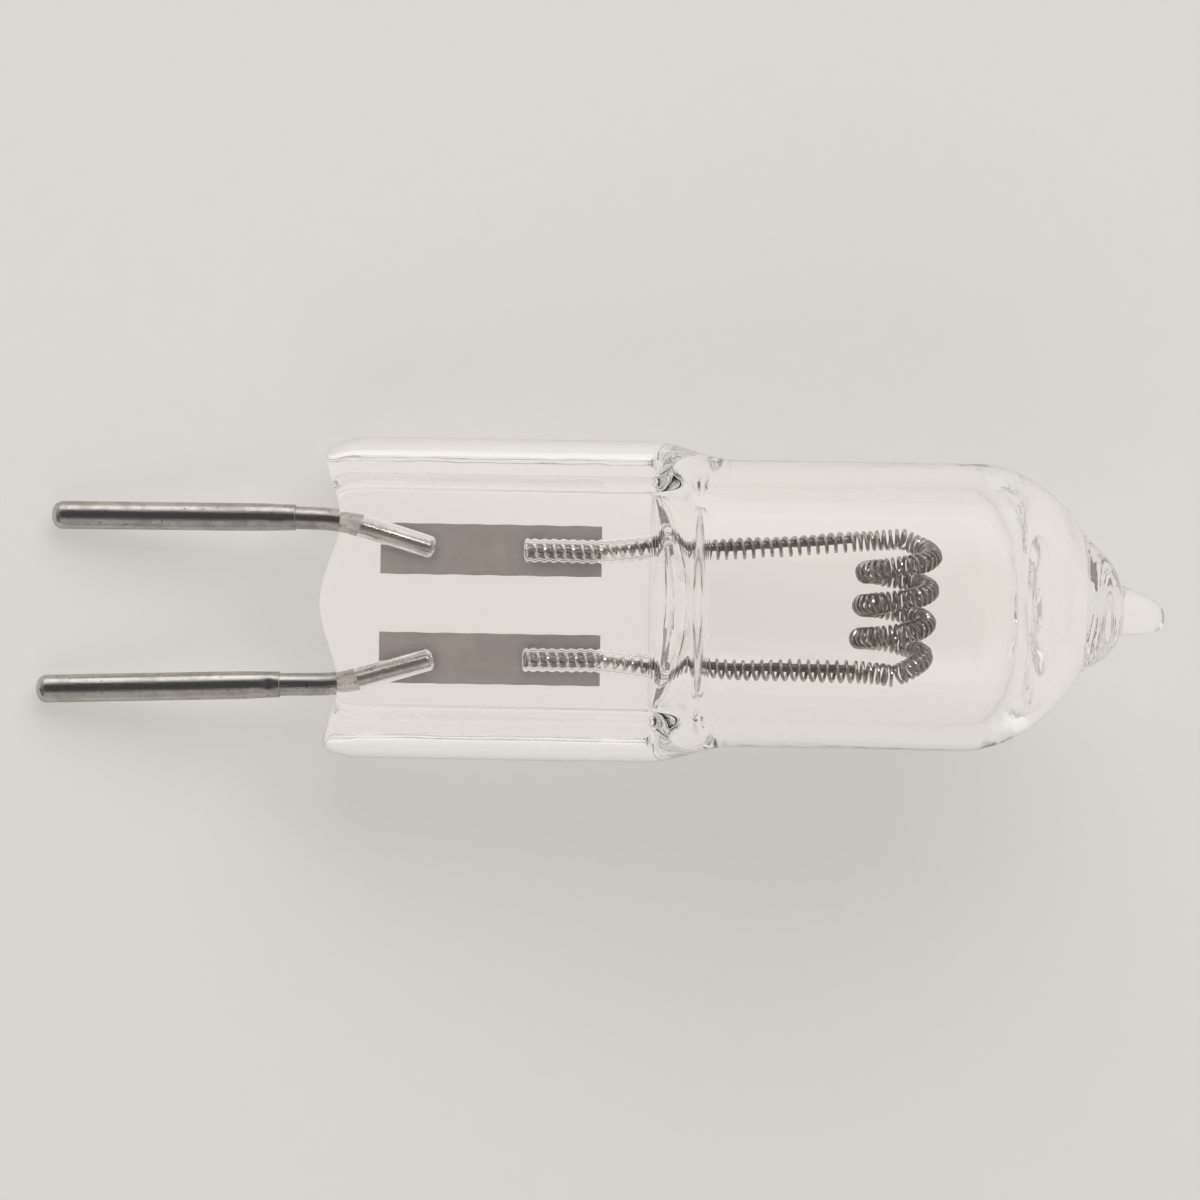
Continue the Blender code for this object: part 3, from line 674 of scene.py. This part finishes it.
def crimp_mark(vert, marks):
    """Presses the tool's marks into the sleeve's outside, and leaves a thin wall over its bore."""
    turn = math.atan2(vert.co.y, vert.co.z)
    radius = math.hypot(vert.co.y, vert.co.z)
    if radius < SLEEVE_BORE * 1.01:
        return
    pressed = 0.0
    for along, degrees, depth, length, breadth in marks:
        off = (turn - math.radians(degrees) + math.pi) % (2 * math.pi) - math.pi
        reach = ((vert.co.x - along) / length) ** 2 + (off / breadth) ** 2
        pressed += depth * math.exp(-reach)
    room = radius - SLEEVE_BORE - LEAST_SLEEVE_WALL
    scale = (radius - min(pressed, room)) / radius
    vert.co.y *= scale
    vert.co.z *= scale


def pin_sleeve(side, material):
    word = SIDE_NAMES[side]
    shape = bmesh.new()
    points = [shape.verts.new((along, 0.0, radius)) for along, radius in sleeve_profile()]
    edges = [shape.edges.new(pair) for pair in zip(points, points[1:])]
    bmesh.ops.spin(
        shape,
        geom=points + edges,
        cent=(0, 0, 0),
        axis=(1, 0, 0),
        angle=2 * math.pi,
        steps=SLEEVE_SIDES,
        use_merge=True,
    )
    bmesh.ops.remove_doubles(shape, verts=shape.verts, dist=MERGE_DISTANCE)
    for vert in shape.verts:
        crimp_mark(vert, CRIMP_MARKS[side])
    bmesh.ops.recalc_face_normals(shape, faces=shape.faces)
    place = Matrix.Translation(sleeve_mouth(side)) @ Matrix.Rotation(-side * PIN_LEAN[side], 4, "Z")
    bmesh.ops.transform(shape, matrix=place, verts=shape.verts)
    mesh = mesh_of(word + "_sleeve", shape, sharp=50)
    add_piece(word + "_sleeve", mesh, material, word + "_pin_sleeve")


# Effects that several finishes share


def node_group(name, inputs, outputs):
    group = bpy.data.node_groups.new(name, "ShaderNodeTree")
    for label, kind, value in inputs:
        socket = group.interface.new_socket(name=label, in_out="INPUT", socket_type=kind)
        if value is not None:
            socket.default_value = value
    for label, kind in outputs:
        group.interface.new_socket(name=label, in_out="OUTPUT", socket_type=kind)
    return group, group.nodes.new("NodeGroupInput").outputs, group.nodes.new("NodeGroupOutput").inputs


def add_node(tree, kind, **settings):
    node = tree.nodes.new(kind)
    for name, value in settings.items():
        setattr(node, name, value)
    return node


def math_node(tree, operation, first, second, clamp=False):
    node = add_node(tree, "ShaderNodeMath", operation=operation, use_clamp=clamp)
    for socket, value in zip(node.inputs, (first, second)):
        if isinstance(value, (int, float)):
            socket.default_value = value
        else:
            tree.links.new(value, socket)
    return node.outputs[0]


def noise_node(tree, vector, scale, detail=3.0, roughness=0.5, distortion=0.0):
    node = add_node(tree, "ShaderNodeTexNoise")
    tree.links.new(vector, node.inputs["Vector"])
    wanted = {"Scale": scale, "Detail": detail, "Roughness": roughness, "Distortion": distortion}
    for label, value in wanted.items():
        if isinstance(value, (int, float)):
            node.inputs[label].default_value = value
        else:
            tree.links.new(value, node.inputs[label])
    return node.outputs["Fac"]


def eased_node(tree, value, low, high, at_low=0.0, at_high=1.0):
    """Runs smoothly from at_low to at_high as a value goes from low to high."""
    node = add_node(tree, "ShaderNodeMapRange", interpolation_type="SMOOTHSTEP")
    tree.links.new(value, node.inputs["Value"])
    ends = {"From Min": low, "From Max": high, "To Min": at_low, "To Max": at_high}
    for label, end in ends.items():
        node.inputs[label].default_value = end
    return node.outputs["Result"]


def colour_node(tree, share, first, second):
    node = add_node(tree, "ShaderNodeMix", data_type="RGBA")
    tree.links.new(share, node.inputs["Factor"])
    for socket, value in zip((node.inputs[6], node.inputs[7]), (first, second)):
        if isinstance(value, tuple):
            socket.default_value = (*value, 1.0)
        else:
            tree.links.new(value, socket)
    return node.outputs[2]


def stretched_node(tree, vector, scale):
    node = add_node(tree, "ShaderNodeVectorMath", operation="MULTIPLY")
    tree.links.new(vector, node.inputs[0])
    node.inputs[1].default_value = scale
    return node.outputs[0]


def drawn_lines_group():
    """Fine lines that the drawing die leaves along a wire or a tube, with a few deeper scratches."""
    group, given, out = node_group(
        "drawn_lines",
        [("Vector", "NodeSocketVector", None), ("Fineness", "NodeSocketFloat", 9.0)],
        [("Lines", "NodeSocketFloat"), ("Scratches", "NodeSocketFloat")],
    )
    long_drawn = stretched_node(group, given["Vector"], (0.06, 1.0, 1.0))
    fine = noise_node(group, long_drawn, given["Fineness"], 5.0, 0.65)
    short_drawn = stretched_node(group, given["Vector"], (0.35, 3.0, 3.0))
    coarse = noise_node(group, short_drawn, 2.2, 2.0, 0.5, 0.3)
    group.links.new(eased_node(group, fine, 0.34, 0.66), out["Lines"])
    group.links.new(eased_node(group, coarse, 0.66, 0.74), out["Scratches"])
    return group


def handling_group():
    """What handling and heat leave on a surface: soft cloudy patches, and small specks."""
    group, given, out = node_group(
        "handling",
        [
            ("Vector", "NodeSocketVector", None),
            ("Patch Scale", "NodeSocketFloat", 0.9),
            ("Speck Scale", "NodeSocketFloat", 7.0),
        ],
        [("Patches", "NodeSocketFloat"), ("Specks", "NodeSocketFloat")],
    )
    patches = noise_node(group, given["Vector"], given["Patch Scale"], 4.0, 0.6, 0.4)
    specks = noise_node(group, given["Vector"], given["Speck Scale"], 2.0, 0.5)
    group.links.new(eased_node(group, patches, 0.35, 0.7), out["Patches"])
    group.links.new(eased_node(group, specks, 0.64, 0.74), out["Specks"])
    return group


def use_group(tree, group, vector, **values):
    node = add_node(tree, "ShaderNodeGroup", node_tree=group)
    tree.links.new(vector, node.inputs["Vector"])
    for name, value in values.items():
        node.inputs[name.replace("_", " ").title()].default_value = value
    return node.outputs


def bump_node(tree, height, distance):
    node = add_node(tree, "ShaderNodeBump")
    node.inputs["Strength"].default_value = 1.0
    node.inputs["Distance"].default_value = distance
    tree.links.new(height, node.inputs["Height"])
    return node.outputs["Normal"]


# Finishes

# Each drawn metal: its clean colour, its worn colour, and its roughness clean and worn
NICKEL = ((0.74, 0.705, 0.67), (0.5, 0.465, 0.435), (0.15, 0.3))
MOLYBDENUM = ((0.74, 0.71, 0.68), (0.54, 0.505, 0.48), (0.18, 0.32))
HEATED_MOLYBDENUM = ((0.2, 0.18, 0.165), (0.11, 0.1, 0.092), (0.25, 0.4))
TUNGSTEN = ((0.52, 0.485, 0.46), (0.34, 0.31, 0.29), (0.1, 0.2))

# How strongly drawing and handling show on them
PATCH_WEAR = 0.75
LINE_WEAR = 0.3
SPECK_SHADE = 0.45
SPECK_STRENGTH = 0.7
SCRATCH_STRENGTH = 0.5
SCRATCH_DEPTH = 1.5
DRAWN_BUMP = 0.0015 * MM

# In the seal the legs' colour is painted brighter: a painted reflection, for the silvery look that the
# glass and its air gaps give them. It fades to the metal's own colour between these places, in
# millimetres
PAINTED_SHEEN_FADE = (10.8, 12.4)
COIL_PAINTED_SHEEN = (0.9, 0.87, 0.84)
CORE_PAINTED_SHEEN = (0.5, 0.475, 0.45)

# Clear quartz, with smears from handling
QUARTZ_TINT = (1.0, 0.992, 0.98)
QUARTZ_IOR = 1.458
QUARTZ_BUMP = 0.02 * MM
SMEAR_ROUGHNESS = 0.018
CLEAR_ROUGHNESS = 0.004

# Rolled foil, with clouded patches and fine grain
FOIL_CLEAN = (0.68, 0.64, 0.61)
FOIL_CLOUDED = (0.6, 0.56, 0.535)
FOIL_GRAIN = (0.5, 0.465, 0.44)
GRAIN_STRENGTH = 0.35
FOIL_ROUGHNESS = (0.5, 0.7)
FOIL_BUMP = 0.001 * MM

# The paper that the lamp lies on
FLOOR_FIBRES = ((0.88, 0.847, 0.805), (0.865, 0.832, 0.79))
FLOOR_REACH = 1.5


def new_finish(name):
    """A material, its shader, and the place on the lamp in millimetres along its own axes."""
    material = bpy.data.materials.new(name)
    material.use_nodes = True
    tree = material.node_tree
    coordinates = add_node(tree, "ShaderNodeTexCoord")
    turned = add_node(tree, "ShaderNodeMapping", vector_type="TEXTURE")
    turned.inputs["Location"].default_value = LAMP.to_translation()
    turned.inputs["Rotation"].default_value = LAMP.to_euler()
    turned.inputs["Scale"].default_value = (MM, MM, MM)
    tree.links.new(coordinates.outputs["Object"], turned.inputs["Vector"])
    return material, tree, tree.nodes["Principled BSDF"], turned.outputs["Vector"]


def metal_finish(name, bright, dark, roughness, lines, handling, painted_sheen=None):
    """A drawn metal: its lines, scratches and patches, and, if given, a painted reflection that makes it
    brighter in the seal.
    """
    material, tree, shader, place = new_finish(name)
    drawn = use_group(tree, lines, place, fineness=9.0)
    marks = use_group(tree, handling, place, patch_scale=1.1, speck_scale=6.0)
    clouded = math_node(tree, "MULTIPLY", marks["Patches"], PATCH_WEAR)
    lined = math_node(tree, "MULTIPLY", drawn["Lines"], LINE_WEAR)
    worn = math_node(tree, "ADD", clouded, lined, clamp=True)
    colour = colour_node(tree, worn, bright, dark)
    # Painted reflection: the colour is painted brighter in the seal and fades to the metal's own colour
    # along the lamp
    if painted_sheen:
        along = add_node(tree, "ShaderNodeSeparateXYZ")
        tree.links.new(place, along.inputs["Vector"])
        past_painted_sheen = eased_node(tree, along.outputs["X"], *PAINTED_SHEEN_FADE)
        colour = colour_node(tree, past_painted_sheen, painted_sheen, colour)
    speck = tuple(part * SPECK_SHADE for part in dark)
    specked = math_node(tree, "MULTIPLY", marks["Specks"], SPECK_STRENGTH)
    colour = colour_node(tree, specked, colour, speck)
    scratched = math_node(tree, "MULTIPLY", drawn["Scratches"], SCRATCH_STRENGTH)
    colour = colour_node(tree, scratched, colour, dark)
    tree.links.new(colour, shader.inputs["Base Color"])
    low, high = roughness
    rough = math_node(tree, "MULTIPLY_ADD", worn, high - low)
    rough.node.inputs[2].default_value = low
    tree.links.new(rough, shader.inputs["Roughness"])
    shader.inputs["Metallic"].default_value = 1.0
    sunk = math_node(tree, "MULTIPLY", drawn["Scratches"], -SCRATCH_DEPTH)
    height = math_node(tree, "ADD", drawn["Lines"], sunk)
    tree.links.new(bump_node(tree, height, DRAWN_BUMP), shader.inputs["Normal"])
    return material


def quartz_finish(handling):
    """Clear fused quartz: slow ripples from drawing and pressing, and faint smears."""
    material, tree, shader, place = new_finish("quartz_glass")
    shader.inputs["Base Color"].default_value = (*QUARTZ_TINT, 1.0)
    shader.inputs["IOR"].default_value = QUARTZ_IOR
    shader.inputs["Transmission Weight"].default_value = 1.0
    marks = use_group(tree, handling, place, patch_scale=0.5, speck_scale=9.0)
    smears = math_node(tree, "MULTIPLY", marks["Patches"], SMEAR_ROUGHNESS)
    tree.links.new(math_node(tree, "ADD", smears, CLEAR_ROUGHNESS), shader.inputs["Roughness"])
    ripples = noise_node(tree, stretched_node(tree, place, (0.5, 1.0, 1.0)), 0.55, 2.0, 0.45, 0.6)
    tree.links.new(bump_node(tree, ripples, QUARTZ_BUMP), shader.inputs["Normal"])
    return material


def foil_finish(handling):
    """Rolled molybdenum foil, dull and slightly clouded by the heat of the seal."""
    material, tree, shader, place = new_finish("molybdenum_foil")
    marks = use_group(tree, handling, place, patch_scale=0.7, speck_scale=5.0)
    grain = noise_node(tree, stretched_node(tree, place, (0.12, 1.0, 1.0)), 16.0, 4.0, 0.6)
    colour = colour_node(tree, marks["Patches"], FOIL_CLEAN, FOIL_CLOUDED)
    colour = colour_node(tree, math_node(tree, "MULTIPLY", grain, GRAIN_STRENGTH), colour, FOIL_GRAIN)
    tree.links.new(colour, shader.inputs["Base Color"])
    low, high = FOIL_ROUGHNESS
    rough = math_node(tree, "MULTIPLY", grain, high - low)
    tree.links.new(math_node(tree, "ADD", rough, low), shader.inputs["Roughness"])
    shader.inputs["Metallic"].default_value = 1.0
    tree.links.new(bump_node(tree, grain, FOIL_BUMP), shader.inputs["Normal"])
    return material


def floor_finish():
    """Pale paper under the lamp, lit more evenly where glass shows it than where metal mirrors it."""
    material = bpy.data.materials.new("pale_floor")
    material.use_nodes = True
    tree = material.node_tree
    shader = tree.nodes["Principled BSDF"]
    coordinates = add_node(tree, "ShaderNodeTexCoord")
    fibres = noise_node(tree, coordinates.outputs["Object"], 900.0, 3.0, 0.6)
    colour = colour_node(tree, fibres, *FLOOR_FIBRES)
    tree.links.new(colour, shader.inputs["Base Color"])
    shader.inputs["Roughness"].default_value = 0.95
    shader.inputs["Specular IOR Level"].default_value = 0.1
    path = add_node(tree, "ShaderNodeLightPath")
    seen = 0.0
    for ray, share in FLOOR_EVENNESS.items():
        seen = math_node(tree, "MAXIMUM", math_node(tree, "MULTIPLY", path.outputs[ray], share), seen)
    away = add_node(tree, "ShaderNodeVectorMath", operation="LENGTH")
    tree.links.new(stretched_node(tree, coordinates.outputs["Object"], POOL_STRETCH), away.inputs[0])
    pool = eased_node(tree, away.outputs["Value"], *LIGHT_POOL)
    even = add_node(tree, "ShaderNodeEmission")
    tree.links.new(colour, even.inputs["Color"])
    unseen = math_node(tree, "SUBTRACT", 1.0, path.outputs["Is Camera Ray"])
    dimmed = math_node(tree, "MULTIPLY", unseen, math_node(tree, "SUBTRACT", 1.0, pool))
    tree.links.new(math_node(tree, "SUBTRACT", 1.0, dimmed), even.inputs["Strength"])
    both = add_node(tree, "ShaderNodeMixShader")
    tree.links.new(seen, both.inputs["Fac"])
    tree.links.new(shader.outputs["BSDF"], both.inputs[1])
    tree.links.new(even.outputs["Emission"], both.inputs[2])
    tree.links.new(both.outputs["Shader"], tree.nodes["Material Output"].inputs["Surface"])
    return material


# Studio

PALE = (0.89, 0.857, 0.815)

# The sky's level from -Y to +Y and past the lamp's ends, as (from, to, level, level), and overhead
SIDE_LEVELS = (-0.55, 0.65, 0.42, 1.25)
END_LEVELS = (0.3, 0.8, 1.0, 0.3)
OVERHEAD = (-0.19, 0.15, 0.97)
OVERHEAD_REACH = (22, 56)
OVERHEAD_LEVEL = 0.07

# A small bright window, which only metal behind glass shows
WINDOW = (0.1, 0.62, 0.78)
WINDOW_REACH = (4, 8)
WINDOW_LEVEL = 11.0

# How even the sky looks through glass, and in metal behind glass
GLASS_EVENNESS = 0.8
METAL_EVENNESS = 0.1

# A ray mirrored once that crossed more faces of glass than this is taken to come off metal behind it
FACES_CROSSED = 3.5

# Thick quartz turns light inside itself many times before it leaves
RAY_LIMIT = 32

# How the floor dims away from the lamp: from, to, and the two levels. Then how even each ray sees it
LIGHT_POOL = (0.008, 0.035, 1.0, 0.6)
POOL_STRETCH = (0.4, 1.0, 1.0)
FLOOR_EVENNESS = {"Is Camera Ray": 0.5, "Is Transmission Ray": 0.8, "Is Glossy Ray": 0.15}


def patch_of_sky(tree, coordinates, towards, reach):
    """1 within the first angle of a direction, fading to 0 at the second."""
    near = add_node(tree, "ShaderNodeVectorMath", operation="DOT_PRODUCT")
    tree.links.new(coordinates.outputs["Generated"], near.inputs[0])
    near.inputs[1].default_value = towards
    inner, outer = (math.cos(math.radians(degrees)) for degrees in reach)
    return eased_node(tree, near.outputs["Value"], outer, inner)


def studio_world():
    """A soft sky: bright towards +Y, dimmer towards -Y and past both ends, and dark overhead."""
    world = bpy.data.worlds.new("studio")
    bpy.context.scene.world = world
    world.use_nodes = True
    tree = world.node_tree
    coordinates = add_node(tree, "ShaderNodeTexCoord")
    split = add_node(tree, "ShaderNodeSeparateXYZ")
    tree.links.new(coordinates.outputs["Generated"], split.inputs["Vector"])
    side = eased_node(tree, split.outputs["Y"], *SIDE_LEVELS)
    past_ends = eased_node(tree, math_node(tree, "ABSOLUTE", split.outputs["X"], 0.0), *END_LEVELS)
    pane = patch_of_sky(tree, coordinates, Vector(WINDOW).normalized(), WINDOW_REACH)
    level = add_node(tree, "ShaderNodeMix")
    tree.links.new(patch_of_sky(tree, coordinates, OVERHEAD, OVERHEAD_REACH), level.inputs["Factor"])
    tree.links.new(math_node(tree, "MULTIPLY", side, past_ends), level.inputs[2])
    level.inputs[3].default_value = OVERHEAD_LEVEL
    path = add_node(tree, "ShaderNodeLightPath")
    mirrored = math_node(tree, "COMPARE", path.outputs["Glossy Depth"], 1.0)
    inside = math_node(tree, "GREATER_THAN", path.outputs["Transmission Depth"], FACES_CROSSED)
    off_metal = math_node(tree, "MULTIPLY", mirrored, inside)
    evenness = math_node(tree, "MULTIPLY_ADD", off_metal, METAL_EVENNESS - GLASS_EVENNESS)
    evenness.node.inputs[2].default_value = GLASS_EVENNESS
    through = math_node(tree, "MULTIPLY", path.outputs["Is Transmission Ray"], evenness)
    even = math_node(tree, "MAXIMUM", path.outputs["Is Camera Ray"], through)
    glint = math_node(tree, "MULTIPLY", pane, off_metal)
    lit = math_node(tree, "MULTIPLY_ADD", glint, WINDOW_LEVEL)
    tree.links.new(level.outputs[0], lit.node.inputs[2])
    sky = colour_node(tree, even, lit, PALE)
    tree.links.new(sky, tree.nodes["Background"].inputs["Color"])


SOFT_BOX_COLOUR = (1.0, 0.985, 0.965)

# Each soft box: its place and size in metres, and its power in watts
SOFT_BOXES = {
    "upper_box": ((0.03, 0.26, 0.24), (0.4, 0.26), 0.55),
    "lower_box": ((-0.04, -0.28, 0.26), (0.34, 0.2), 0.15),
}


def soft_box(name, place, size, power):
    light = bpy.data.lights.new(name, "AREA")
    light.shape = "RECTANGLE"
    light.size, light.size_y = size
    light.energy = power
    light.color = SOFT_BOX_COLOUR
    box = bpy.data.objects.new(name, light)
    bpy.context.scene.collection.objects.link(box)
    box.location = place
    box.rotation_euler = (-box.location).to_track_quat("-Z", "Y").to_euler()
    box.visible_glossy = False
    box.visible_transmission = False


def camera():
    data = bpy.data.cameras.new("camera")
    data.lens = data.sensor_width * VIEW_DISTANCE / VIEW_WIDTH
    data.clip_start = 0.01
    data.clip_end = 10
    view = bpy.data.objects.new("camera", data)
    bpy.context.scene.collection.objects.link(view)
    place = Matrix.Translation(VIEW_CENTRE) @ Matrix.Rotation(VIEW_TURN, 4, "Z")
    view.matrix_world = LAMP @ place @ Matrix.Translation((0, 0, VIEW_DISTANCE))
    bpy.context.scene.camera = view


def floor():
    shape = bmesh.new()
    bmesh.ops.create_grid(shape, x_segments=8, y_segments=8, size=FLOOR_REACH)
    mesh = bpy.data.meshes.new("floor")
    shape.to_mesh(mesh)
    shape.free()
    mesh.materials.append(floor_finish())
    ground = bpy.data.objects.new("floor", mesh)
    bpy.context.scene.collection.objects.link(ground)


def main():
    camera()
    studio_world()
    for name, light in SOFT_BOXES.items():
        soft_box(name, *light)
    floor()
    lines = drawn_lines_group()
    handling = handling_group()
    nickel = metal_finish("nickel_sleeve", *NICKEL, lines, handling)
    lead = metal_finish("molybdenum_wire", *MOLYBDENUM, lines, handling)
    core = metal_finish("heated_molybdenum", *HEATED_MOLYBDENUM, lines, handling, CORE_PAINTED_SHEEN)
    tungsten = metal_finish("tungsten", *TUNGSTEN, lines, handling, COIL_PAINTED_SHEEN)
    quartz_bulb(quartz_finish(handling))
    wires(lead, core, tungsten)
    foil_metal = foil_finish(handling)
    for side in SIDE_NAMES:
        foil(side, foil_metal)
        pin_sleeve(side, nickel)
    scene = bpy.context.scene
    scene.view_settings.view_transform = "Standard"
    scene.cycles.max_bounces = RAY_LIMIT
    scene.cycles.glossy_bounces = RAY_LIMIT
    scene.cycles.transmission_bounces = RAY_LIMIT


main()
bpy.context.view_layer.update()
